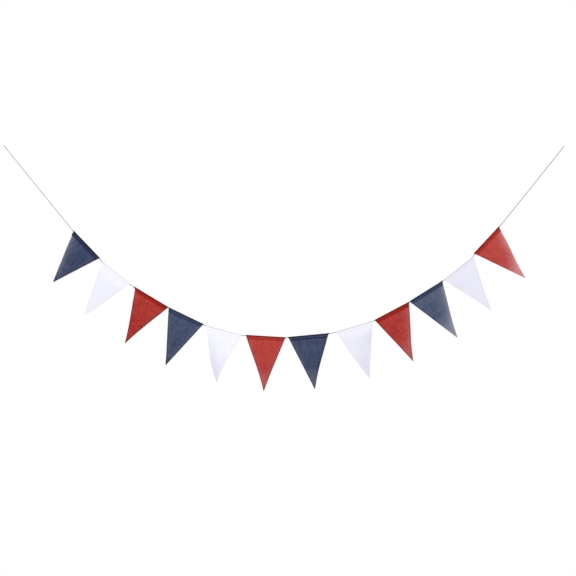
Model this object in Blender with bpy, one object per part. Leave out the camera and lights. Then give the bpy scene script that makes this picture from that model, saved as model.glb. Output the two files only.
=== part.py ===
"""Burlap bunting: twelve triangular pennants hung in a row on one length of twine.

Every pennant is one cut of burlap, a triangle with a straight flap along its
top. The flap is folded back over the twine and stitched down, so the fold is a
narrow sleeve that the twine runs through. The bunting hangs in a shallow curve
from the two bare ends of the twine.

Units are metres. +X runs along the bunting, +Z is up, and the front faces -Y.
The origin is the middle of the twine's left end.
"""

import math

import bmesh
import bpy
import numpy as np

MM = 0.001

# ------------------------------------------------------------------ sizes
TWINE_DIAMETER = 2.0 * MM
CLOTH = 1.0 * MM              # thickness of the burlap
SLEEVE_GAP = 0.4 * MM         # room between the twine and the fold over it
LAYER_GAP = 0.3 * MM          # between the flap and the face it is stitched to
SEAM_DEPTH = 10.3 * MM         # from the twine down to the row of stitches
FLAP_DEPTH = 13.5 * MM        # from the twine down to the flap's cut edge
TIP_WIDTH = 2.0 * MM          # the point of a pennant is slightly blunt
LOOSE_FROM = 15.5 * MM        # the cloth curls freely below this depth
LOOSE_FULL = 75.0 * MM        # and is as slack as it gets from here down

TWINE_START = (0.0, 0.0)      # x, z of the twine's two ends
TWINE_FINISH = (1872.1, -3.7)
TAIL_SAG = 1.0                # how far each tail hangs below a straight line
ROUNDING = 6.0 * MM           # the twine turns its corners over about this length

# -------------------------------------------------------- the pennants, mm
# left and right: where the twine enters and leaves the sleeve
# tip: the point of the triangle
# bow_l, bow_r: how far each side stands out (+) or in (-) of a straight cut
# ear_l, ear_r: how far the fold runs on along the twine past the triangle
# jut_l, jut_r: how far the flap's corners show past the triangle's sides
# cup, twist, nod: how the loose cloth curls, leans and swings to the front
COLUMNS = ("cloth left_x left_z right_x right_z tip_x tip_z bow_l bow_r "
           "ear_l ear_r jut_l jut_r cup twist nod").split()
PENNANTS = [
    ("navy",   233, -287,  321, -379,  167, -457,  0.3, -0.3, 1.5, 1.5,  2.6, -0.8,  16,  -9,   9),
    ("white",  330, -391,  420, -464,  272, -566,  2.0,  2.5, 0.0, 0.0, -0.8, -0.8, -14,   8,  -7),
    ("red",    435, -474,  550, -543,  407, -661, -1.6, -2.3, 6.0, 0.5, -0.8, -0.5,  24,  12,  11),
    ("navy",   551.1, -543.6, 668, -600,  542, -734, -0.7,  0.0, 0.5, 1.5, -0.5, -0.8,  12,  -7,   5),
    ("white",  677, -605,  793, -636,  713, -791,  7.0, -6.5, 0.0, 0.0, -0.8, -0.8,  34,  16,  15),
    ("red",    809, -636,  942, -644,  869, -821, -3.0, -1.5, 0.5, 0.5, -0.5, -0.8,  10,   4,  -4),
    ("navy",   951, -643, 1088, -630, 1040, -814, -0.2, -3.5, 0.5, 3.0, -0.8, -0.5,  15,  -6,   6),
    ("white", 1110, -626, 1233, -589, 1222, -777,  1.0, -1.5, 0.0, 0.5, -0.8, -0.8, -20, -12,  13),
    ("red",   1240, -586, 1355, -525.2, 1368, -721, -0.5, -2.5, 0.5, 0.5, -0.5, -0.8,  16,   8,  -6),
    ("navy",  1356.6, -523.7, 1468, -454, 1515, -642,  0.0, -2.0, 0.5, 3.0, -0.8, -0.5,  20, -10,   8),
    ("white", 1473, -451, 1570, -374, 1631, -554, -2.5, -2.8, 0.0, 0.0, -0.8, -0.8, -12,   9, -11),
    ("red",   1571, -364, 1656.4, -272.6, 1741, -443, -0.2, -2.0, 2.0, 1.5, -0.8, -0.5,  26,  11,   9),
]

COLOURS = {
    "navy": (0.060, 0.075, 0.140),
    "white": (0.86, 0.86, 0.93),
    "red": (0.42, 0.050, 0.043),
    "twine": (0.50, 0.45, 0.37),
}

# the shares of a sleeve's width where the cloth has a line of points, and
# those of them where the twine has one too
ACROSS = (0.0, 0.1, 0.3, 0.5, 0.7, 0.9, 1.0)
TWINE_ACROSS = (0.0, 0.1, 0.5, 0.9, 1.0)
FOLD_STEPS = 6                # facets in the half turn over the twine
DOWN = (0.085, 0.18, 0.31, 0.45, 0.59, 0.73, 0.87, 1.0)  # rows, seam to tip


def smooth(t):
    """Ease from 0 to 1."""
    t = min(1.0, max(0.0, t))
    return t * t * (3 - 2 * t)


def rows_of_table():
    for number, values in enumerate(PENNANTS, 1):
        row = dict(zip(COLUMNS, values))
        row["name"] = f"pennant_{number:02d}_{row['cloth']}"
        yield row


# ------------------------------------------------------------------ twine
def route():
    """The corners of the twine's way, x and z in metres, the distance along it
    to each, and to where each sleeve begins and ends."""
    rows = list(rows_of_table())
    sleeves = [(row[f"{side}_x"], row[f"{side}_z"])
               for row in rows for side in ("left", "right")]
    tails = []                            # each tail sags a little at its middle
    for end, near in ((TWINE_START, sleeves[0]), (TWINE_FINISH, sleeves[-1])):
        tails.append(((end[0] + near[0]) / 2, (end[1] + near[1]) / 2 - TAIL_SAG))
    corners = np.array([TWINE_START, tails[0], *sleeves, tails[1], TWINE_FINISH]) * MM
    along = np.concatenate(
        [[0], np.cumsum(np.linalg.norm(np.diff(corners, axis=0), axis=1))])
    marks = [(along[2 + 2 * i], along[3 + 2 * i]) for i in range(len(rows))]
    return corners, along, marks


def smooth_curve(corners, along):
    """The route with its corners rounded, as a function of the distance along
    it: each place is the weighted mean of the route near it."""
    step = 0.5 * MM
    reach = 3 * ROUNDING
    first_way = (corners[1] - corners[0]) / along[1]
    last_way = (corners[-1] - corners[-2]) / (along[-1] - along[-2])
    corners = np.array([corners[0] - first_way * 2 * reach, *corners,
                        corners[-1] + last_way * 2 * reach])
    along = np.array([-2 * reach, *along, along[-1] + 2 * reach])
    at = np.arange(along[0], along[-1], step)
    places = np.stack([np.interp(at, along, corners[:, k]) for k in (0, 1)], 1)
    spread = np.arange(-reach, reach + step / 2, step)
    weight = np.exp(-0.5 * (spread / ROUNDING) ** 2)
    weight /= weight.sum()
    soft = np.stack([np.convolve(places[:, k], weight, "same") for k in (0, 1)], 1)

    def place(s):
        return np.array([np.interp(s, at, soft[:, k]) for k in (0, 1)])

    return place


def twine_points():
    """The places that the twine's tube is drawn through: at the ends and
    middle of every sleeve, between sleeves, and along the two tails."""
    corners, along, marks = route()
    place = smooth_curve(corners, along)
    stations = list(np.linspace(0, marks[0][0], 6)[:-1])
    stations.append(marks[0][0] - 9 * MM)
    for i, (first, last) in enumerate(marks):
        stations += [first + share * (last - first) for share in TWINE_ACROSS]
        if i + 1 < len(marks):
            gap = marks[i + 1][0] - last
            if gap > 6 * MM:
                stations.append(last + gap / 2)
    stations.append(marks[-1][1] + 9 * MM)
    stations += list(np.linspace(marks[-1][1], along[-1], 6)[1:])
    stations = np.array(stations)
    points = np.array([place(s) for s in stations])
    points[0], points[-1] = corners[0], corners[-1]
    return stations, points, marks


def make_twine(points, material):
    curve = bpy.data.curves.new("twine", "CURVE")
    curve.dimensions = "3D"
    curve.bevel_depth = TWINE_DIAMETER / 2
    curve.bevel_resolution = 2
    curve.use_fill_caps = True
    line = curve.splines.new("POLY")
    line.points.add(len(points) - 1)
    for point, (x, z) in zip(line.points, points):
        point.co = (x, 0.0, z, 1.0)
    curve.materials.append(material)
    twine = bpy.data.objects.new("twine", curve)
    bpy.context.scene.collection.objects.link(twine)
    return twine


# --------------------------------------------------------------- pennants
def section():
    """The middle line of the cloth from the flap's cut edge, up the back, over
    the twine and down the front: (depth below the twine, y) for each row of
    the header."""
    layer = (CLOTH + LAYER_GAP) / 2
    round_twine = TWINE_DIAMETER / 2 + SLEEVE_GAP + CLOTH / 2
    half = (layer + round_twine) / 2
    back = [(FLAP_DEPTH, layer), (SEAM_DEPTH, layer), (SEAM_DEPTH / 2, half)]
    fold = [(-round_twine * math.sin(math.pi * k / FOLD_STEPS),
             round_twine * math.cos(math.pi * k / FOLD_STEPS))
            for k in range(FOLD_STEPS + 1)]
    front = [(SEAM_DEPTH / 2, -half), (SEAM_DEPTH, -layer)]
    return back, fold, front


def middle_surface(row, on_twine, first, last):
    """The points halfway through the cloth, as an array of rows and columns."""
    left = on_twine(first)
    right = on_twine(last)
    tip = np.array([row["tip_x"], row["tip_z"]]) * MM
    width = np.linalg.norm(right - left)
    way = (right - left) / width
    down = np.array([way[1], -way[0]])
    height = float((tip - left) @ down)
    back, fold, front = section()
    layer = (CLOTH + LAYER_GAP) / 2
    grid = []

    def fold_place(share):
        return on_twine(first + share * (last - first))

    def front_place(c, depth):
        """Down the face, from the fold towards the tip."""
        share = depth / height
        top = fold_place(c)
        ear = smooth(depth / (5 * MM)) * (1 - share) * MM
        ear *= row["ear_l"] * (1 - c) ** 2 - row["ear_r"] * c ** 2
        end = tip + way * TIP_WIDTH * (c - 0.5)
        bow = 6.75 * share ** 2 * (1 - share) * MM      # most at two thirds down
        bow *= row["bow_r"] * c - row["bow_l"] * (1 - c)
        flat = top + down * (depth - float((top - left) @ down) * share)
        across = float((end - top) @ way) * share
        return flat + way * (across + ear + bow)

    for depth, y in back:                 # the flap is cut to match the face
        line = []
        for c in ACROSS:
            jut = row["jut_r"] * c ** 3 - row["jut_l"] * (1 - c) ** 3
            jut *= MM * depth / FLAP_DEPTH
            line.append((*(front_place(c, depth) + way * jut), y))
        grid.append(line)
    for depth, y in fold:
        grid.append([(*(fold_place(c) + down * depth), y) for c in ACROSS])
    for depth, y in front:
        grid.append([(*front_place(c, depth), y) for c in ACROSS])
    for share in DOWN:
        depth = SEAM_DEPTH + share * (height - SEAM_DEPTH)
        grow = smooth((depth - LOOSE_FROM) / (LOOSE_FULL - LOOSE_FROM))
        line = []
        for c in ACROSS:
            side = (2 * c - 1) * (1 - share)
            swing = row["cup"] * side ** 2 + row["twist"] * side
            y = -layer - (swing * grow + row["nod"] * share ** 2 * grow) * MM
            line.append((*front_place(c, depth), y))
        grid.append(line)
    grid = np.array(grid)
    return grid[:, :, [0, 2, 1]]          # x, y, z


def thicken(grid):
    """Both faces of the cloth, half its thickness each way from the middle."""
    down = np.gradient(grid, axis=0)
    over = np.gradient(grid, axis=1)
    for k in range(1, len(grid) - 1):     # bisect the bends at their corners
        a, b = grid[k] - grid[k - 1], grid[k + 1] - grid[k]
        down[k] = (a / np.linalg.norm(a, axis=1, keepdims=True)
                   + b / np.linalg.norm(b, axis=1, keepdims=True))
    normal = np.cross(down, over)
    normal /= np.linalg.norm(normal, axis=2, keepdims=True)
    return grid + normal * CLOTH / 2, grid - normal * CLOTH / 2


def make_pennant(row, on_twine, first, last, material):
    outer, inner = thicken(middle_surface(row, on_twine, first, last))
    rows, columns = outer.shape[:2]
    mesh = bmesh.new()
    face_a = [[mesh.verts.new(p) for p in line] for line in outer]
    face_b = [[mesh.verts.new(p) for p in line] for line in inner]
    for i in range(rows - 1):
        for j in range(columns - 1):
            mesh.faces.new((face_a[i][j], face_a[i][j + 1],
                            face_a[i + 1][j + 1], face_a[i + 1][j]))
            mesh.faces.new((face_b[i][j], face_b[i + 1][j],
                            face_b[i + 1][j + 1], face_b[i][j + 1]))
    for i in range(rows - 1):
        for j, turn in ((0, 1), (columns - 1, -1)):
            ring = (face_a[i][j], face_a[i + 1][j], face_b[i + 1][j], face_b[i][j])
            mesh.faces.new(ring[::turn])
    for j in range(columns - 1):
        for i, turn in ((0, -1), (rows - 1, 1)):
            ring = (face_a[i][j], face_a[i][j + 1], face_b[i][j + 1], face_b[i][j])
            mesh.faces.new(ring[::turn])
    bmesh.ops.recalc_face_normals(mesh, faces=mesh.faces)
    data = bpy.data.meshes.new(row["name"])
    mesh.to_mesh(data)
    mesh.free()
    data.materials.append(material)
    pennant = bpy.data.objects.new(row["name"], data)
    bpy.context.scene.collection.objects.link(pennant)
    data.shade_smooth()
    data.set_sharp_from_angle(angle=math.radians(50))
    return pennant


def plain_material(name, colour, roughness):
    material = bpy.data.materials.new(name)
    material.use_nodes = True
    shader = material.node_tree.nodes["Principled BSDF"]
    shader.inputs["Base Color"].default_value = (*colour, 1.0)
    shader.inputs["Roughness"].default_value = roughness
    shader.inputs["Metallic"].default_value = 0.0
    return material


def main():
    for old in list(bpy.data.objects):
        bpy.data.objects.remove(old, do_unlink=True)

    stations, points, marks = twine_points()

    def on_twine(s):
        return np.array([np.interp(s, stations, points[:, k]) for k in (0, 1)])

    make_twine(points, plain_material("twine", COLOURS["twine"], 0.9))
    for row, (first, last) in zip(rows_of_table(), marks):
        material = plain_material(row["name"], COLOURS[row["cloth"]], 0.85)
        make_pennant(row, on_twine, first, last, material)


main()
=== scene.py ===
"""The look of the burlap bunting: twelve woven pennants on a jute twine.

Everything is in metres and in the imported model's frame: +X runs along the
bunting, +Z is up, the pennants' fronts face -Y, and the origin is the middle of
the twine's left end.

Each pennant is one sheet of burlap, a triangle with a flap that is folded to
the back over the twine. Its mesh follows the yarns: a grid with one line of
points on every yarn and one between, cut along the pennant's straight sides.
"""

import math

import bpy
import numpy as np
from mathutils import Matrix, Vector


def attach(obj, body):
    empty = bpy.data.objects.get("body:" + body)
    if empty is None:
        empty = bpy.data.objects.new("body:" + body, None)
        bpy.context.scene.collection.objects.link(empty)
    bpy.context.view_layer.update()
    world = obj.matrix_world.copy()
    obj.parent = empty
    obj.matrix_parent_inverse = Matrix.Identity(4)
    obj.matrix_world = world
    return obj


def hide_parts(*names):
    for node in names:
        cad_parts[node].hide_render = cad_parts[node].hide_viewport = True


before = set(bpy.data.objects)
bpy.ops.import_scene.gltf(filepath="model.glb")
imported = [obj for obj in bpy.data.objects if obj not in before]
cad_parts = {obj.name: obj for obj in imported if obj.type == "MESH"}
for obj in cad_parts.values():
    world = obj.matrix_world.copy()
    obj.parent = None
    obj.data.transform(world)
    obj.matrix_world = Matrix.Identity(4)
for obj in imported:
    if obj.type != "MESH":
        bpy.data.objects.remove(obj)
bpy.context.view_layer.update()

MM = 0.001

# ------------------------------------------------- sizes shared with the CAD
TWINE_DIAMETER = 2.0 * MM
CLOTH = 1.0 * MM
SLEEVE_GAP = 0.4 * MM
LAYER_GAP = 0.3 * MM
SEAM_DEPTH = 10.3 * MM
FLAP_DEPTH = 13.5 * MM
TIP_WIDTH = 2.0 * MM
LOOSE_FROM = 15.5 * MM
LOOSE_FULL = 75.0 * MM
TWINE_START = (0.0, 0.0)
TWINE_FINISH = (1872.1, -3.7)
TAIL_SAG = 1.0
ROUNDING = 6.0 * MM

COLUMNS = ("cloth left_x left_z right_x right_z tip_x tip_z bow_l bow_r "
           "ear_l ear_r jut_l jut_r cup twist nod").split()
PENNANTS = [
    ("navy",   233, -287,  321, -379,  167, -457,  0.3, -0.3, 1.5, 1.5,  2.6, -0.8,  16,  -9,   9),
    ("white",  330, -391,  420, -464,  272, -566,  2.0,  2.5, 0.0, 0.0, -0.8, -0.8, -14,   8,  -7),
    ("red",    435, -474,  550, -543,  407, -661, -1.6, -2.3, 6.0, 0.5, -0.8, -0.5,  24,  12,  11),
    ("navy",   551.1, -543.6, 668, -600,  542, -734, -0.7,  0.0, 0.5, 1.5, -0.5, -0.8,  12,  -7,   5),
    ("white",  677, -605,  793, -636,  713, -791,  7.0, -6.5, 0.0, 0.0, -0.8, -0.8,  34,  16,  15),
    ("red",    809, -636,  942, -644,  869, -821, -3.0, -1.5, 0.5, 0.5, -0.5, -0.8,  10,   4,  -4),
    ("navy",   951, -643, 1088, -630, 1040, -814, -0.2, -3.5, 0.5, 3.0, -0.8, -0.5,  15,  -6,   6),
    ("white", 1110, -626, 1233, -589, 1222, -777,  1.0, -1.5, 0.0, 0.5, -0.8, -0.8, -20, -12,  13),
    ("red",   1240, -586, 1355, -525.2, 1368, -721, -0.5, -2.5, 0.5, 0.5, -0.5, -0.8,  16,   8,  -6),
    ("navy",  1356.6, -523.7, 1468, -454, 1515, -642,  0.0, -2.0, 0.5, 3.0, -0.8, -0.5,  20, -10,   8),
    ("white", 1473, -451, 1570, -374, 1631, -554, -2.5, -2.8, 0.0, 0.0, -0.8, -0.8, -12,   9, -11),
    ("red",   1571, -364, 1656.4, -272.6, 1741, -443, -0.2, -2.0, 2.0, 1.5, -0.8, -0.5,  26,  11,   9),
]

# ------------------------------------------------------ sizes of the weave
PITCH = 2.2 * MM              # from one yarn to the next, both ways
HALF_CLOTH = 0.40 * MM        # half the mean thickness of the woven sheet
WEAVE = 0.11 * MM             # how far the crossings stand out, each side
LAYER = (CLOTH + LAYER_GAP) / 2
ROUND = TWINE_DIAMETER / 2 + SLEEVE_GAP + CLOTH / 2
ARC = math.pi * ROUND         # along the middle of the cloth, over the twine
STITCH = 3.8 * MM             # from one stitch to the next
THREAD = 0.55 * MM


def smooth(t):
    t = np.clip(t, 0.0, 1.0)
    return t * t * (3 - 2 * t)


def rows_of_table():
    for number, values in enumerate(PENNANTS, 1):
        row = dict(zip(COLUMNS, values))
        row["number"] = number
        row["tag"] = f"{number:02d}_{row['cloth']}"
        yield row


# ------------------------------------------------------------- camera, stage
def add_camera():
    """Straight in front, far away, framed as the photo is."""
    distance = 10.0
    wide = 1.92384                            # metres across the frame at Y = 0
    data = bpy.data.cameras.new("camera")
    data.sensor_width = 36.0
    data.lens = 36.0 * distance / wide
    data.clip_end = 100.0
    camera = bpy.data.objects.new("camera", data)
    camera.location = (0.9502, -distance, -0.4773)
    camera.rotation_euler = (math.radians(90), 0, 0)
    bpy.context.scene.collection.objects.link(camera)
    bpy.context.scene.camera = camera


# -------------------------------------------------------------- small tools
class Graph:
    """A node material, put together from short calls."""

    def __init__(self, name):
        self.material = bpy.data.materials.new(name)
        self.material.use_nodes = True
        self.tree = self.material.node_tree
        self.shader = self.tree.nodes["Principled BSDF"]

    def put(self, value, socket):
        if isinstance(value, bpy.types.NodeSocket):
            self.tree.links.new(value, socket)
        else:
            socket.default_value = value

    def math(self, operation, *values, clamp=False):
        node = self.tree.nodes.new("ShaderNodeMath")
        node.operation = operation
        node.use_clamp = clamp
        for value, socket in zip(values, node.inputs):
            self.put(value, socket)
        return node.outputs[0]

    def add(self, *values):
        total = values[0]
        for value in values[1:]:
            total = self.math("ADD", total, value)
        return total

    def times(self, *values):
        total = values[0]
        for value in values[1:]:
            total = self.math("MULTIPLY", total, value)
        return total

    def ease(self, value, start, end, low=0.0, high=1.0):
        node = self.tree.nodes.new("ShaderNodeMapRange")
        node.interpolation_type = "SMOOTHSTEP"
        for number, socket in zip((value, start, end, low, high), node.inputs):
            self.put(number, socket)
        return node.outputs[0]

    def attribute(self, name, output="Fac"):
        node = self.tree.nodes.new("ShaderNodeAttribute")
        node.attribute_type = "GEOMETRY"
        node.attribute_name = name
        return node.outputs[output]

    def separate(self, vector):
        node = self.tree.nodes.new("ShaderNodeSeparateXYZ")
        self.put(vector, node.inputs[0])
        return node.outputs

    def combine(self, *values):
        node = self.tree.nodes.new("ShaderNodeCombineXYZ")
        for value, socket in zip(values, node.inputs):
            self.put(value, socket)
        return node.outputs[0]

    def random(self, *values):
        """One random number for each whole triple of values."""
        node = self.tree.nodes.new("ShaderNodeTexWhiteNoise")
        node.noise_dimensions = "3D"
        self.put(self.combine(*values), node.inputs["Vector"])
        return node.outputs["Value"]

    def noise(self, *values, scale=1.0, detail=2.0, roughness=0.5):
        node = self.tree.nodes.new("ShaderNodeTexNoise")
        node.noise_dimensions = "3D"
        self.put(self.combine(*values), node.inputs["Vector"])
        node.inputs["Scale"].default_value = scale
        node.inputs["Detail"].default_value = detail
        node.inputs["Roughness"].default_value = roughness
        return node.outputs["Fac"]

    def mix(self, factor, a, b):
        node = self.tree.nodes.new("ShaderNodeMix")
        node.data_type = "RGBA"
        colours = [s for s in node.inputs if s.type == "RGBA"]
        self.put(factor, node.inputs[0])
        for value, socket in zip((a, b), colours):
            if isinstance(value, tuple):
                value = (*value, 1.0)
            self.put(value, socket)
        return next(s for s in node.outputs if s.type == "RGBA")

    def blend(self, factor, a, b):
        """The number between a and b."""
        node = self.tree.nodes.new("ShaderNodeMix")
        node.data_type = "FLOAT"
        for value, socket in zip((factor, a, b),
                                 (node.inputs[0], node.inputs[2], node.inputs[3])):
            self.put(value, socket)
        return node.outputs[0]

    def bump(self, height, distance, strength):
        node = self.tree.nodes.new("ShaderNodeBump")
        node.inputs["Strength"].default_value = strength
        node.inputs["Distance"].default_value = distance
        self.put(height, node.inputs["Height"])
        self.put(node.outputs["Normal"], self.shader.inputs["Normal"])


def colour_of(red, green, blue):
    """A colour as a screen shows it, 0 to 255, as the light it stands for."""
    return tuple((c / 255 / 12.92 if c <= 10 else ((c / 255 + 0.055) / 1.055) ** 2.4)
                 for c in (red, green, blue))


def new_mesh(name, places, faces, material, smooth_faces=True):
    data = bpy.data.meshes.new(name)
    data.from_pydata(np.asarray(places).tolist(), [], faces)
    data.validate()
    if smooth_faces:
        data.shade_smooth()
    data.materials.append(material)
    piece = bpy.data.objects.new(name, data)
    bpy.context.scene.collection.objects.link(piece)
    return piece


def keep(piece, name, values):
    """Store numbers or vectors on the mesh's points."""
    values = np.asarray(values, dtype=np.float32)
    if values.ndim == 1:
        layer = piece.data.attributes.new(name, "FLOAT", "POINT")
        layer.data.foreach_set("value", values)
    else:
        layer = piece.data.attributes.new(name, "FLOAT_VECTOR", "POINT")
        layer.data.foreach_set("vector", values.ravel())


class Strands:
    """Many thin tapered tubes gathered in one mesh."""

    def __init__(self):
        self.places, self.faces = [], []

    def add(self, line, radii, sides=3):
        line = np.asarray(line, dtype=float)
        radii = np.broadcast_to(radii, len(line))
        along = np.gradient(line, axis=0)
        along /= np.linalg.norm(along, axis=1, keepdims=True) + 1e-12
        guide = np.array([0.31, 0.87, 0.38])
        if abs(along[0] @ guide) > 0.9:
            guide = np.array([0.9, -0.2, 0.4])
        side = np.cross(along, guide)
        side /= np.linalg.norm(side, axis=1, keepdims=True)
        other = np.cross(along, side)
        start = len(self.places)
        for k in range(len(line)):
            for j in range(sides):
                turn = 2 * math.pi * j / sides
                self.places.append(line[k] + radii[k] * (
                    math.cos(turn) * side[k] + math.sin(turn) * other[k]))
        for k in range(len(line) - 1):
            for j in range(sides):
                a, b = start + k * sides + j, start + k * sides + (j + 1) % sides
                self.faces.append((a, b, b + sides, a + sides))
        self.faces.append(tuple(start + j for j in reversed(range(sides))))
        last = start + (len(line) - 1) * sides
        self.faces.append(tuple(last + j for j in range(sides)))


# -------------------------------------------------------------------- twine
def route():
    rows = list(rows_of_table())
    sleeves = [(row[f"{side}_x"], row[f"{side}_z"])
               for row in rows for side in ("left", "right")]
    tails = []
    for end, near in ((TWINE_START, sleeves[0]), (TWINE_FINISH, sleeves[-1])):
        tails.append(((end[0] + near[0]) / 2, (end[1] + near[1]) / 2 - TAIL_SAG))
    corners = np.array([TWINE_START, tails[0], *sleeves, tails[1], TWINE_FINISH]) * MM
    along = np.concatenate(
        [[0], np.cumsum(np.linalg.norm(np.diff(corners, axis=0), axis=1))])
    marks = [(along[2 + 2 * i], along[3 + 2 * i]) for i in range(len(rows))]
    return corners, along, marks


def smooth_curve(corners, along):
    """x and z of the twine's middle, as a function of the distance along it."""
    step = 0.5 * MM
    reach = 3 * ROUNDING
    first_way = (corners[1] - corners[0]) / along[1]
    last_way = (corners[-1] - corners[-2]) / (along[-1] - along[-2])
    corners = np.array([corners[0] - first_way * 2 * reach, *corners,
                        corners[-1] + last_way * 2 * reach])
    along = np.array([-2 * reach, *along, along[-1] + 2 * reach])
    at = np.arange(along[0], along[-1], step)
    places = np.stack([np.interp(at, along, corners[:, k]) for k in (0, 1)], 1)
    spread = np.arange(-reach, reach + step / 2, step)
    weight = np.exp(-0.5 * (spread / ROUNDING) ** 2)
    weight /= weight.sum()
    soft = np.stack([np.convolve(places[:, k], weight, "same") for k in (0, 1)], 1)

    def place(s):
        return np.stack([np.interp(s, at, soft[:, k]) for k in (0, 1)], -1)

    return place


def gentle(rng, length, step):
    """Soft random numbers between about -1 and 1 along a length."""
    count = int(length / step) + 4
    return np.convolve(rng.normal(size=count + 6), [0.1, 0.25, 0.3, 0.25, 0.1],
                       "same")[3:-3] * 2


def make_twine(place, length, marks, material):
    """Two plies laid round each other, with loose fibres along the bare parts."""
    rng = np.random.default_rng(41)
    around, step = 14, 0.52 * MM
    count = int(length / step) + 1
    s = np.linspace(0, length, count)
    middle = place(s)
    way = np.gradient(middle, axis=0)
    way /= np.linalg.norm(way, axis=1, keepdims=True)
    across = np.stack([-way[:, 1], way[:, 0]], 1)
    slow = np.interp(s, np.linspace(0, length, 320), gentle(rng, 317, 1)[:320])
    twist = np.cumsum(2 * math.pi / (6.4 * MM) * (1 + 0.12 * slow)) * (s[1] - s[0])
    thick = 1 + 0.06 * np.interp(s, np.linspace(0, length, 600),
                                 gentle(rng, 597, 1)[:600])
    radius = TWINE_DIAMETER / 2
    ply, off = 0.68 * radius, 0.40 * radius
    ends = np.minimum(s, length - s)
    thick *= 0.72 + 0.28 * smooth(ends / (2.5 * MM))
    places, strand = [], []
    for j in range(around):
        turn = 2 * math.pi * j / around
        lay = turn - twist
        # the outline of two round plies side by side
        reach = off * np.abs(np.cos(lay)) + np.sqrt(ply ** 2 - (off * np.sin(lay)) ** 2)
        reach = reach * thick
        ring = np.stack([middle[:, 0] + reach * math.cos(turn) * across[:, 0],
                         reach * math.sin(turn),
                         middle[:, 1] + reach * math.cos(turn) * across[:, 1]], 1)
        places.append(ring)
        strand.append(np.stack([lay / (2 * math.pi), s / MM,
                                np.abs(np.cos(lay))], 1))
    places = np.stack(places, 1).reshape(-1, 3)
    strand = np.stack(strand, 1).reshape(-1, 3)
    faces = []
    for i in range(count - 1):
        for j in range(around):
            a, b = i * around + j, i * around + (j + 1) % around
            faces.append((a, a + around, b + around, b))
    faces.append(tuple(range(around)))
    faces.append(tuple((count - 1) * around + j for j in reversed(range(around))))

    # loose fibres on the tails and in the wider gaps between pennants
    bare = [(0.0, marks[0][0] - 3 * MM, 260), (marks[-1][1] + 3 * MM, length, 240)]
    for (_, last), (first, _) in zip(marks, marks[1:]):
        if first - last > 6 * MM:
            bare.append((last + 1 * MM, first - 1 * MM, int((first - last) / MM)))
    hairs = Strands()
    for start, end, number in bare:
        for _ in range(number):
            at = rng.uniform(start, end)
            turn = rng.uniform(0, 2 * math.pi)
            lean = rng.choice((-1, 1)) * rng.uniform(0.5, 1.0)
            long = rng.uniform(1.6, 4.6) * MM
            x, z = place(at)
            wx, wz = place(at + 1 * MM) - place(at - 1 * MM)
            size = math.hypot(wx, wz)
            forward = np.array([wx, 0, wz]) / size
            out = (math.cos(turn) * np.array([-forward[2], 0, forward[0]])
                   + math.sin(turn) * np.array([0, 1, 0]))
            root = np.array([x, 0, z]) + out * 0.75 * radius
            line = [root + forward * lean * long * t
                    + out * rng.uniform(0.8, 1.2) * 0.42 * long * t ** 1.6
                    - np.array([0, 0, 0.12]) * long * t * t
                    for t in (0, 0.35, 0.7, 1.0)]
            hairs.add(line, np.array([0.055, 0.05, 0.035, 0.015]) * MM)
    # each end is cut, and its fibres spread a little
    for at, sign in ((0.0, -1), (length, 1)):
        x, z = place(at)
        wx, wz = place(at + 1 * MM) - place(at - 1 * MM)
        forward = np.array([wx, 0, wz]) / math.hypot(wx, wz) * sign
        for _ in range(26):
            turn = rng.uniform(0, 2 * math.pi)
            spread = rng.uniform(0.1, 0.7)
            out = (math.cos(turn) * np.array([-forward[2], 0, forward[0]])
                   + math.sin(turn) * np.array([0, 1, 0])) * spread
            root = np.array([x, 0, z]) + out * radius - forward * 0.8 * MM
            long = rng.uniform(1.4, 2.6) * MM
            line = [root + (forward + out * 0.35 * t) * long * t
                    for t in (0, 0.4, 0.75, 1.0)]
            hairs.add(line, np.array([0.09, 0.08, 0.06, 0.02]) * MM)
    loose = np.array(hairs.places)
    piece = new_mesh("twine_jute", places, faces, material)
    fuzz = new_mesh("twine_fibres", loose, hairs.faces, material)
    keep(piece, "strand", strand)
    keep(fuzz, "strand", np.stack([loose[:, 2] / MM, loose[:, 0] / MM,
                                   np.ones(len(loose))], 1))
    for each, points in ((piece, places), (fuzz, loose)):
        # the left tail is paler than the middle, a painted highlight as if more strongly lit, and the
        # right one is darkest, the twine's own browner colour
        keep(each, "lit_pale_to_brown", 0.3 * smooth((points[:, 0] - 0.25) / 0.3)
             + 0.7 * smooth((points[:, 0] - 1.50) / 0.25))
    return piece, fuzz, middle


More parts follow.
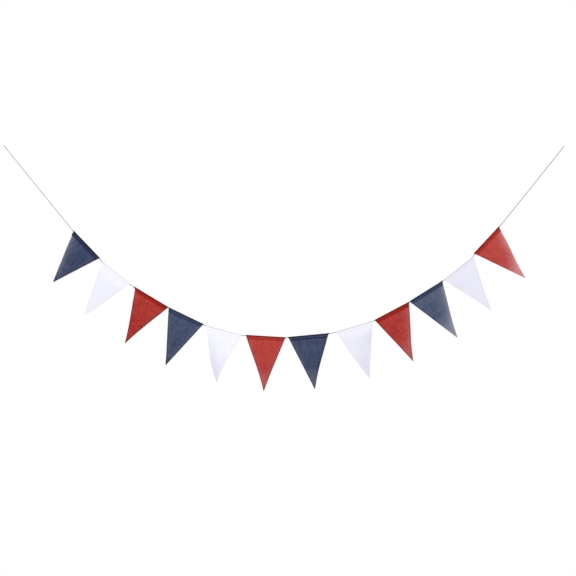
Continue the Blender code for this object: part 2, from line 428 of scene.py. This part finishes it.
# ----------------------------------------------------------------- pennants
class Pennant:
    """The shape in which one pennant hangs.

    c runs from 0 to 1 between the two cut sides, and v is the distance along
    the cloth from the top of the fold, down the front (+) or down the back (-).
    """

    def __init__(self, row, place, first, last):
        self.row, self.place, self.first, self.last = row, place, first, last
        self.left, right = place(first), place(last)
        tip = np.array([row["tip_x"], row["tip_z"]]) * MM
        self.width = float(np.linalg.norm(right - self.left))
        self.way = (right - self.left) / self.width
        self.down = np.array([self.way[1], -self.way[0]])
        self.height = float((tip - self.left) @ self.down)
        self.lean = float((tip - self.left) @ self.way)
        rng = np.random.default_rng(100 + row["number"])
        self.ripples = [(amount * MM, length * MM, rng.uniform(-0.6, 0.6),
                         rng.uniform(0, 2 * math.pi))
                        for amount, length in ((0.75, 74), (0.45, 43), (0.25, 24))]
        self.phase = rng.uniform(0, 2 * math.pi, 4)

    def sides(self, v):
        """Where the two cut sides are in the flat cloth, across from its left."""
        share = np.maximum(0, np.abs(v) - ARC / 2) / self.height
        half = TIP_WIDTH / 2
        return ((self.lean - half) * share,
                self.width + (self.lean + half - self.width) * share)

    def face(self, c, depth):
        row = self.row
        share = depth / self.height
        top = self.place(self.first + c * (self.last - self.first))
        ear = smooth(depth / (5 * MM)) * (1 - share) * MM
        ear = ear * (row["ear_l"] * (1 - c) ** 2 - row["ear_r"] * c ** 2)
        bow = 6.75 * share ** 2 * (1 - share) * MM
        bow = bow * (row["bow_r"] * c - row["bow_l"] * (1 - c))
        start = (top - self.left) @ self.way
        sag = (top - self.left) @ self.down
        across = (self.lean + TIP_WIDTH * (c - 0.5) - start) * share
        return (top + (depth - sag * share)[:, None] * self.down
                + (across + ear + bow)[:, None] * self.way)

    def middle(self, c, v):
        """The points halfway through the cloth."""
        row = self.row
        beyond = np.abs(v) - ARC / 2
        depth = np.maximum(0, beyond)
        flat = self.face(c, depth)
        front = v > 0
        jut = (row["jut_r"] * c ** 3 - row["jut_l"] * (1 - c) ** 3) * MM
        flat = flat + (jut * depth / FLAP_DEPTH * ~front)[:, None] * self.way
        turn = np.clip(v / ROUND, -math.pi / 2, math.pi / 2)
        flat = flat - (ROUND * np.cos(turn) * (beyond < 0))[:, None] * self.down
        close = LAYER + (ROUND - LAYER) * (1 - smooth(depth / SEAM_DEPTH))
        y = np.where(beyond < 0, -ROUND * np.sin(turn), np.where(front, -close, close))
        u = c * self.width
        # the sleeve isn't quite even along the twine
        swell = smooth(depth / (2 * MM)) * (1 - smooth((depth - 4 * MM) / (4 * MM)))
        uneven = np.sin(2 * math.pi * u / (31 * MM) + self.phase[0]) + np.sin(
            2 * math.pi * u / (17 * MM) + self.phase[1])
        y = y + np.where(front, -1, 1) * swell * 0.10 * MM * (1.5 + uneven)
        # below the seam the flap's edge lifts a little
        lift = smooth((depth - SEAM_DEPTH) / (FLAP_DEPTH - SEAM_DEPTH))
        y = y + ~front * lift * 0.22 * MM * (
            1.4 + np.sin(2 * math.pi * u / (23 * MM) + self.phase[2]))
        # the loose cloth curls, leans, swings and ripples
        share = np.clip((depth - SEAM_DEPTH) / (self.height - SEAM_DEPTH), 0, 1)
        grow = smooth((depth - LOOSE_FROM) / (LOOSE_FULL - LOOSE_FROM)) * front
        side = (2 * c - 1) * (1 - share)
        swing = row["cup"] * side ** 2 + row["twist"] * side + row["nod"] * share ** 2
        y = y - swing * grow * MM
        flat_u = self.sides(v)[0] + c * np.subtract(*self.sides(v)[::-1])
        for amount, length, slant, phase in self.ripples:
            y = y + grow * amount * np.sin(
                2 * math.pi * (flat_u + slant * depth) / length + phase)
        edge = np.minimum(c, 1 - c) * (1 - share) * self.width
        y = y + grow * 0.5 * MM * np.exp(-edge / (7 * MM)) * np.sin(
            2 * math.pi * depth / (26 * MM) + self.phase[3])
        return np.stack([flat[:, 0], y, flat[:, 1]], 1)

    def normals(self, c, v):
        """Outwards from the front's side of the cloth."""
        dc, dv = 0.003, 0.2 * MM
        over = self.middle(c + dc, v) - self.middle(c - dc, v)
        along = self.middle(c, v + dv) - self.middle(c, v - dv)
        normal = np.cross(along, over)
        return normal / np.linalg.norm(normal, axis=1, keepdims=True)

    def lines(self):
        """The distances v at which a line of points runs across the cloth."""
        half = PITCH / 2
        top, bottom = -(ARC / 2 + FLAP_DEPTH), ARC / 2 + self.height
        within = np.arange(math.ceil((top + 0.4 * half) / half),
                           math.floor((bottom - 0.4 * half) / half) + 1) * half
        fine = np.arange(-9, 10) * half / 2
        fine = fine[np.abs(fine) < 4.5 * MM]
        both = np.concatenate([within, fine, [top, bottom]])
        return np.unique(np.round(both, 7))

    def grid(self):
        """Points (u, v) of the flat cut, and the faces between them."""
        half = PITCH / 2
        u_all, v_all, edge, faces = [], [], [], []
        above = None
        for v in self.lines():
            left, right = (float(x) for x in self.sides(np.array(v)))
            columns = range(math.ceil((left + 0.4 * half) / half),
                            math.floor((right - 0.4 * half) / half) + 1)
            keys = [-10 ** 6, *columns, 10 ** 6]
            us = [left, *(k * half for k in columns), right]
            start = len(u_all)
            u_all += us
            v_all += [v] * len(us)
            edge += [-1] + [0] * len(columns) + [1]
            here = (start, keys, us)
            if above is not None:
                faces += self.strip(above, here)
            above = here
        return np.array(u_all), np.array(v_all), np.array(edge), faces

    @staticmethod
    def strip(above, below):
        (a0, a_keys, a_us), (b0, b_keys, b_us) = above, below
        faces, p, q = [], 0, 0
        while p < len(a_keys) - 1 or q < len(b_keys) - 1:
            more_a, more_b = p < len(a_keys) - 1, q < len(b_keys) - 1
            if (more_a and more_b and a_keys[p] == b_keys[q]
                    and a_keys[p + 1] == b_keys[q + 1]):
                faces.append((a0 + p, b0 + q, b0 + q + 1, a0 + p + 1))
                p, q = p + 1, q + 1
            elif not more_b or (more_a and a_us[p + 1] < b_us[q + 1]):
                faces.append((a0 + p, b0 + q, a0 + p + 1))
                p += 1
            else:
                faces.append((a0 + p, b0 + q, b0 + q + 1))
                q += 1
        return faces


def make_cloth(shape, material):
    row = shape.row
    rng = np.random.default_rng(200 + row["number"])
    u, v, edge, faces = shape.grid()
    left, right = shape.sides(v)
    c = (u - left) / (right - left)
    depth = np.maximum(0, np.abs(v) - ARC / 2)
    places = shape.middle(c, v)
    normal = shape.normals(c, v)

    # the cut ends of the yarns stand out a little, the gaps between them in
    stub = np.cos(2 * math.pi * v / PITCH) * rng.uniform(0.08, 0.34, len(v)) * MM
    stub = stub * edge * (depth > 1 * MM)
    stub = stub * smooth((shape.height - depth) / (10 * MM))
    places = places + stub[:, None] * np.array([shape.way[0], 0, shape.way[1]])

    relief = WEAVE / 2 * (np.cos(2 * math.pi * u / PITCH)
                          + np.cos(2 * math.pi * v / PITCH))
    relief = relief * (1 + 0.25 * rng.normal(size=len(v)).clip(-1.5, 1.5))
    seam = ARC / 2 + SEAM_DEPTH
    pressed = np.exp(-((np.abs(v) - seam) / (1.0 * MM)) ** 2)
    half = (HALF_CLOTH + relief) * (1 - 0.38 * pressed)
    half = np.where(edge != 0, half * 0.7, half)
    count = len(v)
    both = np.concatenate([places + normal * half[:, None],
                           places - normal * half[:, None]])
    known = set()
    for face in faces:
        for a, b in zip(face, face[1:] + face[:1]):
            known.add((a, b))
    rim = [(b, a, a + count, b + count) for a, b in known if (b, a) not in known]
    rim.sort()
    inner = [tuple(k + count for k in reversed(face)) for face in faces]
    piece = new_mesh(f"cloth_{row['tag']}", both, faces + inner + rim, material)

    # for the material: yarn numbers, the distance from the nearest cut side
    slope_l = shape.lean / shape.height
    slope_r = (shape.lean - shape.width) / shape.height
    cut = np.minimum((u - left) / math.hypot(1, slope_l),
                     (right - u) / math.hypot(1, slope_r))
    cut = np.where(v < 0, np.minimum(cut, v + ARC / 2 + FLAP_DEPTH), cut)
    cut = np.maximum(cut, 0) / MM
    weave = np.stack([u / PITCH, v / PITCH, np.full(count, 7.0 * row["number"])], 1)
    keep(piece, "weave", np.tile(weave, (2, 1)))
    keep(piece, "cut", np.tile(cut, 2))
    share = depth / shape.height
    near_left = (u - left) / math.hypot(1, slope_l) / MM
    near_right = (right - u) / math.hypot(1, slope_r) / MM
    # how far the cloth is painted paler and greyer: painted sheen on navy and red, painted shade on
    # white
    keep(piece, "sheen_and_shade", np.tile(sheen_and_shade(row, share, near_left, near_right), 2))
    keep(piece, "dark", np.tile(dark(row, c, share), 2))
    keep(piece, "toned", np.tile(toned(row, share), 2))
    keep(piece, "bands", np.tile(bands(row, c), (2, 1)))

    # what the cloth was before it was hung
    flat_width = max(shape.width, shape.lean + TIP_WIDTH / 2) - min(
        0, shape.lean - TIP_WIDTH / 2)
    flat_length = FLAP_DEPTH + ARC + shape.height
    share = FLAP_DEPTH / shape.height
    area = (shape.height * (shape.width + TIP_WIDTH) / 2 + ARC * shape.width
            + FLAP_DEPTH * (shape.width - share * (shape.width - TIP_WIDTH) / 2))
    return piece, (flat_width, flat_length), area


# how far each pennant is painted paler and greyer, painted sheen on the navy and
# red cloth and painted shade on the white: all over, more at the tip, and along
# its left and right sides, each with the distance in mm over which that dies away
SHEEN_AND_SHADE = {
    1: (0.00, 0.02, 0.62, 9, 0.00, 5),
    2: (0.00, 0.05, 0.00, 5, 0.00, 5),
    3: (0.01, 0.00, 0.08, 7, 0.04, 5),
    4: (0.02, 0.02, 0.15, 7, 0.14, 7),
    5: (0.00, 0.75, 0.00, 5, 0.00, 5),
    6: (0.03, 0.24, 0.14, 7, 0.12, 8),
    7: (0.00, 0.24, 0.20, 7, 0.00, 5),
    8: (0.00, 0.35, 0.00, 5, 0.00, 5),
    9: (0.02, 0.32, 0.00, 5, 0.34, 12),
    10: (0.05, 0.69, 0.04, 6, 0.62, 11),
    11: (0.00, 0.15, 0.00, 5, 0.00, 5),
    12: (0.05, 0.75, 0.06, 6, 0.70, 12),
}
# how much paler (+) or deeper (-) than its colour each is, at the top and the tip
TONED = {
    1: (-0.06, -0.10), 3: (0.05, -0.12), 4: (0.05, -0.06), 6: (0.19, 0.05),
    7: (-0.01, -0.06), 9: (0.04, -0.03), 10: (0.18, 0.16), 12: (0.23, 0.18),
}
# how far the white ones are shaded: at the fold, at a third of the way down and
# at the tip, and how much more on the left and on the right
SHADED = {
    2: (0.14, 0.44, 0.48, 0.00, 0.03),
    5: (0.00, 0.14, 0.84, 0.24, -0.20),
    8: (0.18, 0.58, 0.92, 0.00, -0.10),
    11: (0.58, 0.62, 0.60, 0.00, 0.00),
}
# how strongly the bands of painted shade along the fold show (the double layer is
# shaded only on navy and red): the double layer, the rim at its left and its right
# end, and the seam
BANDED = {
    1: (0.95, 0.95, 0.95, 1.00),
    2: (1.00, 0.50, 0.32, 0.00),
    3: (1.00, 0.90, 1.00, 0.80),
    4: (0.50, 0.80, 0.70, 0.65),
    5: (1.00, 0.85, 0.35, 0.00),
    6: (0.50, 0.80, 0.85, 0.70),
    7: (0.35, 0.80, 0.75, 1.00),
    8: (1.00, 0.95, 0.80, 0.00),
    9: (0.82, 1.00, 0.85, 1.00),
    10: (0.95, 0.95, 0.65, 0.60),
    11: (1.00, 0.85, 0.75, 0.00),
    12: (0.88, 0.95, 0.85, 0.70),
}


def sheen_and_shade(row, share, near_left, near_right):
    """How far the cloth is painted paler and greyer, from 0 to 1, for each of its points: painted
    sheen on navy and red, painted shade on white.
    """
    base, tip, left, left_reach, right, right_reach = SHEEN_AND_SHADE[row["number"]]
    value = base + tip * smooth((share - 0.46) / 0.54)
    sides = left * np.exp(-near_left / left_reach)
    sides = sides + right * np.exp(-near_right / right_reach)
    value = value + sides * smooth(share / 0.12) * (1 - smooth((share - 0.66) / 0.32))
    return value.clip(0, 1)


def toned(row, share):
    """How much paler or deeper than its colour the cloth is."""
    top, tip = TONED.get(row["number"], (0, 0))
    return top + (tip - top) * smooth((share - 0.1) / 0.7)


def dark(row, c, share):
    """How far the white cloth is shaded, from 0 to 1, for each of its points."""
    top, third, tip, left, right = SHADED.get(row["number"], (0, 0, 0, 0, 0))
    value = top + (third - top) * smooth((share - 0.06) / 0.22)
    value = value + (tip - third) * smooth((share - 0.25) / 0.55)
    value = value + (left * (1 - c) + right * c) * smooth(share / 0.4)
    return value.clip(0, 1)


def bands(row, c):
    header, left, right, seam = BANDED[row["number"]]
    return np.stack([np.full(len(c), header), left + (right - left) * c,
                     np.full(len(c), seam)], 1)


def make_stitches(shape, material):
    """A row of lockstitches through the face and the flap."""
    rng = np.random.default_rng(300 + shape.row["number"])
    threads = Strands()
    number = int((shape.width - 3 * MM) / STITCH)
    margin = (shape.width - number * STITCH) / 2
    for sign in (1, -1):
        v = sign * (ARC / 2 + SEAM_DEPTH)
        left, right = shape.sides(np.array(v))
        for k in range(number):
            start = margin + k * STITCH + rng.uniform(-0.15, 0.15) * MM
            shift = rng.uniform(-0.18, 0.18) * MM
            t = np.linspace(0, 1, 7)
            u = start + t * STITCH * 0.86
            c = (u - 0.0) / shape.width
            if c[0] < 0.012 or c[-1] > 0.988:
                continue
            vs = np.full(len(t), v + shift) + t * 0.12 * MM
            rise = (0.62 * HALF_CLOTH - 0.10 * MM
                    + 0.36 * MM * np.sin(math.pi * t) ** 0.6)
            line = shape.middle(c, vs) + shape.normals(c, vs) * rise[:, None]
            radii = THREAD / 2 * (0.75 + 0.25 * np.sin(math.pi * t))
            threads.add(line, radii, sides=6)
    piece = new_mesh(f"stitches_{shape.row['tag']}", threads.places, threads.faces,
                     material)
    return piece


def make_fray(shape, material):
    """Loose yarn ends and fibres along the cut sides and the flap's edge."""
    rng = np.random.default_rng(400 + shape.row["number"])
    fibres = Strands()
    way = np.array([shape.way[0], 0, shape.way[1]])
    down = np.array([shape.down[0], 0, shape.down[1]])
    for k in range(64):
        right = k % 2
        share = rng.uniform(0.03, 0.985)
        v = ARC / 2 + share * shape.height
        c = 1.0 if right else 0.0
        sign = 1 if right else -1
        root = shape.middle(np.array([c - sign * 0.01]), np.array([v]))[0]
        out = shape.middle(np.array([c]), np.array([v]))[0]
        tilt = rng.uniform(-0.9, 1.3)
        aim = sign * way * rng.uniform(0.25, 1.0) + down * tilt
        aim[1] += rng.uniform(-0.5, 0.5)
        aim /= np.linalg.norm(aim)
        long = rng.uniform(0.8, 2.4) * MM if k % 5 else rng.uniform(2.2, 3.8) * MM
        root = out + (root - out) * 0.5
        bend = rng.uniform(-0.3, 0.3) * way + rng.uniform(0.0, 0.5) * down
        line = [root + aim * long * t + bend * long * t * t for t in (0, 0.4, 0.75, 1)]
        size = 0.16 if k % 5 == 0 else 0.08
        fibres.add(line, np.array([size, size * 0.9, size * 0.7, 0.02]) * MM)
    for k in range(14):
        c = rng.uniform(0.03, 0.97)
        v = -(ARC / 2 + FLAP_DEPTH) + 0.3 * MM
        root = shape.middle(np.array([c]), np.array([v]))[0]
        aim = down + way * rng.uniform(-0.7, 0.7)
        aim[1] += rng.uniform(0.0, 0.35)
        aim /= np.linalg.norm(aim)
        long = rng.uniform(1.0, 2.6) * MM
        line = [root + aim * long * t for t in (0, 0.4, 0.75, 1)]
        fibres.add(line, np.array([0.12, 0.11, 0.08, 0.02]) * MM)
    return new_mesh(f"fray_{shape.row['tag']}", fibres.places, fibres.faces, material)


# ---------------------------------------------------------------- materials
def burlap(name, look):
    """Plain-woven burlap. The weave attribute counts yarns across and down, and
    a yarn's middle is at each whole number."""
    g = Graph(name)
    across, along, which = g.separate(g.attribute("weave", "Vector"))
    headed, rim_shade_strength, seam_shade_strength = g.separate(g.attribute("bands", "Vector"))
    # yarns wander a little from a straight line
    across = g.add(across, g.times(g.add(g.noise(
        g.times(across, 0.6), g.times(along, 0.12), which), -0.5), 0.45))
    along = g.add(along, g.times(g.add(g.noise(
        g.times(across, 0.12), g.times(along, 0.6), g.add(which, 3.0)), -0.5), 0.45))
    warp = g.math("ROUND", across)
    weft = g.math("ROUND", along)
    off_warp = g.math("SUBTRACT", across, warp)
    off_weft = g.math("SUBTRACT", along, weft)

    def yarn(off, number, other, running, shift):
        """Its colour's place between dark and pale, and how thick it is here."""
        own = g.random(number, which, shift)
        slub = g.noise(g.times(number, 3.7), g.times(running, 0.13),
                       g.add(which, shift), detail=1.0)
        fibre = g.noise(g.times(off, 6.0), g.times(running, 0.8),
                        g.add(g.times(number, 0.37), g.add(which, shift)), detail=3.0)
        tone = g.add(g.times(own, 0.20), g.times(slub, 0.46), g.times(fibre, 0.80), -0.23)
        wide = g.add(0.35, g.times(slub, 0.22))
        part = g.math("DIVIDE", off, wide)
        bulge = g.math("SUBTRACT", 1.0, g.times(part, part))
        return tone, bulge, fibre, own

    warp_tone, warp_bulge, warp_fibre, _ = yarn(off_warp, warp, weft, along, 0.0)
    weft_tone, weft_bulge, weft_fibre, end = yarn(off_weft, weft, warp, across, 40.0)
    over = g.times(g.math("COSINE", g.times(along, math.pi)),
                   g.math("COSINE", g.times(warp, math.pi)))
    under = g.times(g.math("COSINE", g.times(across, math.pi)),
                    g.math("COSINE", g.times(weft, math.pi)), -1.0)
    warp_high = g.add(warp_bulge, g.times(over, 0.55))
    weft_high = g.add(weft_bulge, g.times(under, 0.55))
    on_top = g.ease(g.math("SUBTRACT", warp_high, weft_high), -0.08, 0.08)
    high = g.math("MAXIMUM", warp_high, weft_high)
    fibre = g.blend(on_top, weft_fibre, warp_fibre)
    # painted shade: a yarn is darker where it dives under the next, and where two yarns part
    dive = g.ease(high, 1.30, 0.45)
    tone = g.add(g.blend(on_top, weft_tone, warp_tone), 0.09, g.times(dive, -0.34))
    gap = g.ease(high, 0.46, 0.06)

    # patches and streaks of deeper and paler dye, over many yarns
    blotch = g.noise(g.times(across, 0.07), g.times(along, 0.07), which, detail=3.0)
    patch = g.noise(g.times(across, 0.26), g.times(along, 0.20), g.add(which, 2.0),
                    detail=2.0)
    streak = g.noise(g.times(across, 0.55), g.times(along, 0.05), g.add(which, 4.0),
                     detail=1.0)
    cross = g.noise(g.times(across, 0.05), g.times(along, 0.55), g.add(which, 6.0),
                    detail=1.0)
    tone = g.add(tone, g.times(g.add(blotch, -0.5), look["blotch"]),
                 g.times(g.add(patch, -0.5), look["patch"]),
                 g.times(g.add(streak, -0.5), look["streak"]),
                 g.times(g.add(cross, -0.5), look["streak"] * 0.6),
                 g.attribute("toned"))
    tone = g.math("ADD", tone, 0.0, clamp=True)
    colour = g.mix(tone, look["deep"], look["pale"])
    # painted sheen on the navy and red cloth and painted shade on the white: a paler, greyer mix of
    # the colours
    sheen_and_shade_colour = g.mix(tone, look["sheen_and_shade_deep"], look["sheen_and_shade_pale"])
    sheen_and_shade_here = g.attribute("sheen_and_shade")
    colour = g.mix(sheen_and_shade_here, colour, sheen_and_shade_colour)

    # the double layer between the fold and the seam, and the marks along it, all
    # painted shade: the double layer darker on navy and red, as less light comes
    # through two layers, the rim where the cloth wraps the twine, and the seam's ditch
    ragged = g.add(g.times(g.add(fibre, -0.5), 1.6), g.times(g.add(end, -0.5), 0.8),
                   g.times(g.add(patch, -0.5), 1.6))
    from_fold = g.times(g.math("ABSOLUTE", along), PITCH / MM)
    uneven = g.add(from_fold, g.times(ragged, 0.5))
    seam_at = (ARC / 2 + SEAM_DEPTH) / MM - 0.3
    rim_to = look["rim_to"]
    light = g.add(1 - look["grain"] / 2, g.times(tone, look["grain"]))

    def lay(colour, part, key):
        """Part of the cloth in another of the look's colours, with its own grain."""
        node = g.tree.nodes.new("ShaderNodeVectorMath")
        node.operation = "SCALE"
        node.inputs[0].default_value = look[key]
        g.put(light, node.inputs["Scale"])
        return g.mix(g.times(part, look[key + "_by"]), colour, node.outputs[0])

    # painted shade: the double layer is darker on the navy and red cloth
    header = g.times(g.ease(uneven, rim_to - 1.2, rim_to + 1.2), headed,
                     g.ease(from_fold, seam_at - 0.6, seam_at - 2.2))
    colour = lay(colour, header, "header")
    below = g.times(g.ease(from_fold, seam_at + 1.2, seam_at + 2.4), headed,
                    g.ease(uneven, seam_at + 4.8, seam_at + 2.6))
    colour = lay(colour, below, "below")
    cut = g.attribute("cut")
    # the dark edge and the pale fringe are left off where the painted sheen is strong
    clear_of_sheen = g.ease(sheen_and_shade_here, 0.60, 0.15)
    edge = g.ease(g.add(cut, ragged), look["edge_to"] + 1.1, look["edge_to"] - 1.3)
    colour = lay(colour, g.times(edge, clear_of_sheen), "edge")
    # painted shadow in the seam's ditch
    from_seam = g.math("ABSOLUTE", g.math("SUBTRACT", from_fold, seam_at))
    colour = lay(colour, g.times(g.ease(from_seam, 2.3, 0.8), seam_shade_strength), "seam")
    # painted shade along the rim at the top of the fold, where the cloth wraps the twine
    rim = g.times(g.ease(uneven, rim_to + 1.2, rim_to - 1.2), rim_shade_strength)
    colour = lay(colour, rim, "rim")
    # painted highlight: the very top of the fold is lighter, as it catches the light; it also stands
    # for wear along the fold
    colour = lay(colour, g.ease(from_fold, 1.7, 0.5), "ridge")
    colour = lay(colour, g.times(g.ease(cut, 0.75, 0.25), clear_of_sheen), "fringe")
    # painted shade in the gaps between the yarns
    colour = lay(colour, gap, "gap")

    shaded = g.mix(g.attribute("dark"), (1.0, 1.0, 1.0), look["shade"])
    node = g.tree.nodes.new("ShaderNodeMix")
    node.data_type = "RGBA"
    node.blend_type = "MULTIPLY"
    node.inputs[0].default_value = 1.0
    sockets = [s for s in node.inputs if s.type == "RGBA"]
    g.put(colour, sockets[0])
    g.put(shaded, sockets[1])
    colour = next(s for s in node.outputs if s.type == "RGBA")
    g.put(colour, g.shader.inputs["Base Color"])
    g.put(g.add(0.80, g.times(fibre, 0.16), g.times(gap, 0.05)),
          g.shader.inputs["Roughness"])
    g.shader.inputs["Specular IOR Level"].default_value = 0.05
    g.shader.inputs["Sheen Weight"].default_value = look["sheen"]
    g.shader.inputs["Sheen Roughness"].default_value = 0.55
    height = g.add(g.times(g.math("MAXIMUM", high, 0.0), 0.6), g.times(fibre, 0.5))
    g.bump(height, 0.35 * MM, look["bump"])
    return g.material


def thread(name, dark_colour, pale_colour):
    g = Graph(name)
    node = g.tree.nodes.new("ShaderNodeTexCoord")
    x, y, z = g.separate(node.outputs["Object"])
    twist = g.noise(g.times(g.add(x, z), 2600.0), g.times(y, 900.0),
                    g.times(g.math("SUBTRACT", x, z), 700.0), detail=1.0)
    speck = g.noise(x, y, z, scale=90.0, detail=2.0)
    tone = g.add(g.times(twist, 0.8), g.times(speck, 0.5), -0.15)
    g.put(g.mix(tone, dark_colour, pale_colour), g.shader.inputs["Base Color"])
    g.put(g.add(0.62, g.times(speck, 0.2)), g.shader.inputs["Roughness"])
    g.shader.inputs["Specular IOR Level"].default_value = 0.3
    g.bump(twist, 0.08 * MM, 0.5)
    return g.material


def jute(name):
    g = Graph(name)
    lay, length, crest = g.separate(g.attribute("strand", "Vector"))
    streak = g.noise(g.times(lay, 9.0), g.times(length, 0.22), crest, detail=3.0)
    patch = g.noise(g.times(length, 0.05), 3.0, 1.0, detail=3.0)
    tone = g.add(g.times(streak, 0.85), g.times(patch, 0.7), -0.25)
    tone = g.math("ADD", tone, 0.0, clamp=True)
    # painted light: the pale mix is the twine as if more strongly lit, used on the left tail; the dark
    # brown mix is its own colour, used towards the right
    pale = g.mix(tone, dye(98, 93, 89), dye(166, 160, 155))
    dark_brown = g.mix(tone, dye(47, 40, 34), dye(102, 92, 82))
    colour = g.mix(g.attribute("lit_pale_to_brown"), pale, dark_brown)
    # painted shade: darker in the groove between the two plies
    groove = g.ease(crest, 0.45, 0.05)
    colour = g.mix(g.times(groove, 0.6), colour, dye(60, 53, 47))
    g.put(colour, g.shader.inputs["Base Color"])
    g.put(g.add(0.78, g.times(streak, 0.18)), g.shader.inputs["Roughness"])
    g.shader.inputs["Specular IOR Level"].default_value = 0.22
    g.shader.inputs["Sheen Weight"].default_value = 0.12
    g.bump(streak, 0.12 * MM, 0.5)
    return g.material


LIGHT = 1.30                  # what a surface that faces the camera receives
GLOSS = 0.009                 # and what it mirrors of it


def dye(red, green, blue):
    """The cloth's own colour, from the way it looks on a screen in this light."""
    return tuple(max(0.002, (c - GLOSS) / LIGHT) for c in colour_of(red, green, blue))


# In each look the rim, seam and gap colours are painted shade, the header colour is painted shade on
# navy and red, the ridge colour is a painted highlight, and the second, paler and greyer pair of
# colours is painted sheen on navy and red and painted shade on white.
LOOKS = {
    "navy": {
        "deep": dye(38, 46, 72), "pale": dye(94, 104, 131),
        "sheen_and_shade_deep": dye(132, 136, 152), "sheen_and_shade_pale": dye(168, 170, 184),
        "shade": (0.8, 0.8, 0.85), "grain": 1.1,
        "header": dye(56, 62, 86), "header_by": 0.9,
        "seam": dye(26, 32, 60), "seam_by": 0.9,
        "below": dye(68, 77, 103), "below_by": 0.3,
        "rim": dye(24, 27, 44), "rim_by": 0.95, "rim_to": 5.4,
        "ridge": dye(70, 74, 92), "ridge_by": 0.4,
        "edge": dye(44, 50, 76), "edge_by": 0.6, "edge_to": 3.4,
        "fringe": dye(74, 76, 96), "fringe_by": 0.6,
        "gap": dye(16, 20, 40), "gap_by": 0.6,
        "blotch": 0.5, "patch": 0.40, "streak": 0.50, "sheen": 0.01, "bump": 0.75,
    },
    "white": {
        "deep": dye(241, 241, 254), "pale": dye(251, 251, 255),
        "sheen_and_shade_deep": dye(226, 225, 233), "sheen_and_shade_pale": dye(238, 237, 245),
        "shade": (0.835, 0.832, 0.903), "grain": 0.06,
        "header": dye(250, 247, 252), "header_by": 0.75,
        "seam": dye(246, 245, 252), "seam_by": 0.3,
        "below": dye(248, 247, 254), "below_by": 0.3,
        "rim": dye(205, 200, 208), "rim_by": 0.9, "rim_to": 3.8,
        "ridge": dye(232, 229, 235), "ridge_by": 0.3,
        "edge": dye(238, 237, 245), "edge_by": 0.35, "edge_to": 2.4,
        "fringe": dye(240, 239, 246), "fringe_by": 0.4,
        "gap": dye(218, 217, 234), "gap_by": 0.35,
        "blotch": 0.3, "patch": 0.20, "streak": 0.35, "sheen": 0.01, "bump": 0.40,
    },
    "red": {
        "deep": dye(132, 22, 18), "pale": dye(202, 80, 72),
        "sheen_and_shade_deep": dye(200, 122, 125), "sheen_and_shade_pale": dye(228, 162, 163),
        "shade": (0.8, 0.8, 0.8), "grain": 0.9,
        "header": dye(164, 38, 31), "header_by": 0.9,
        "seam": dye(140, 24, 20), "seam_by": 0.8,
        "below": dye(174, 52, 45), "below_by": 0.3,
        "rim": dye(94, 16, 16), "rim_by": 0.95, "rim_to": 5.2,
        "ridge": dye(168, 62, 58), "ridge_by": 0.4,
        "edge": dye(134, 62, 62), "edge_by": 0.80, "edge_to": 4.1,
        "fringe": dye(172, 88, 88), "fringe_by": 0.6,
        "gap": dye(92, 12, 12), "gap_by": 0.6,
        "blotch": 0.5, "patch": 0.40, "streak": 0.45, "sheen": 0.01, "bump": 0.75,
    },
}
THREADS = {
    "navy": (dye(22, 24, 52), dye(48, 50, 86)),
    "white": (dye(236, 235, 246), dye(249, 248, 255)),
    "red": (dye(108, 16, 20), dye(150, 34, 34)),
}


# -------------------------------------------------------------------- stage
def add_stage():
    scene = bpy.context.scene
    scene.view_settings.view_transform = "Standard"
    world = bpy.data.worlds.new("studio")
    scene.world = world
    world.use_nodes = True
    back = world.node_tree.nodes["Background"]
    back.inputs["Color"].default_value = (1.0, 1.0, 1.0, 1.0)
    back.inputs["Strength"].default_value = 1.0

    def lamp(name, place, size, power):
        data = bpy.data.lights.new(name, "AREA")
        data.shape = "DISK"
        data.size = size
        data.energy = power
        light = bpy.data.objects.new(name, data)
        light.location = place
        aim = Vector((0.95, 0.0, -0.5)) - Vector(place)
        light.rotation_euler = aim.to_track_quat("-Z", "Y").to_euler()
        scene.collection.objects.link(light)

    lamp("key", (-0.9, -4.6, 2.4), 3.0, 125)
    lamp("back_fill", (2.6, 4.6, 2.2), 3.0, 110)

    size, low = 5.6, -2.0
    data = bpy.data.meshes.new("floor")
    data.from_pydata([(0.95 - size, -size, low), (0.95 + size, -size, low),
                      (0.95 + size, size, low), (0.95 - size, size, low)], [],
                     [(0, 1, 2, 3)])
    g = Graph("floor")
    node = g.tree.nodes.new("ShaderNodeTexCoord")
    x, y, z = g.separate(node.outputs["Object"])
    grain = g.noise(x, y, z, scale=3.0, detail=4.0)
    g.put(g.mix(grain, (0.90, 0.90, 0.90), (0.93, 0.93, 0.93)),
          g.shader.inputs["Base Color"])
    g.shader.inputs["Roughness"].default_value = 1.0
    g.shader.inputs["Specular IOR Level"].default_value = 0.0
    data.materials.append(g.material)
    floor = bpy.data.objects.new("floor", data)
    scene.collection.objects.link(floor)


# --------------------------------------------------------------------- main
def main():
    add_camera()
    corners, along, marks = route()
    place = smooth_curve(corners, along)
    length = float(along[-1])

    twine, fuzz, middle = make_twine(place, length, marks, jute("jute_twine"))
    real = float(np.linalg.norm(np.diff(middle, axis=0), axis=1).sum())
    for piece in (twine, fuzz):
        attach(piece, "root")
    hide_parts("twine")
    [(x, 0.0, z) for x, z in middle]

    cloths = {name: burlap(f"{name}_burlap", look) for name, look in LOOKS.items()}
    threads = {name: thread(f"{name}_thread", *pair) for name, pair in THREADS.items()}
    for row, (first, last) in zip(rows_of_table(), marks):
        shape = Pennant(row, place, first, last)
        colour = row["cloth"]
        cloth, flat, area = make_cloth(shape, cloths[colour])
        stitches = make_stitches(shape, threads[colour])
        fray = make_fray(shape, threads[colour])
        for piece in (cloth, stitches, fray):
            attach(piece, "root")
        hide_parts(f"pennant_{row['tag']}")
        flat = tuple(round(size, 4) for size in flat)
    add_stage()


main()
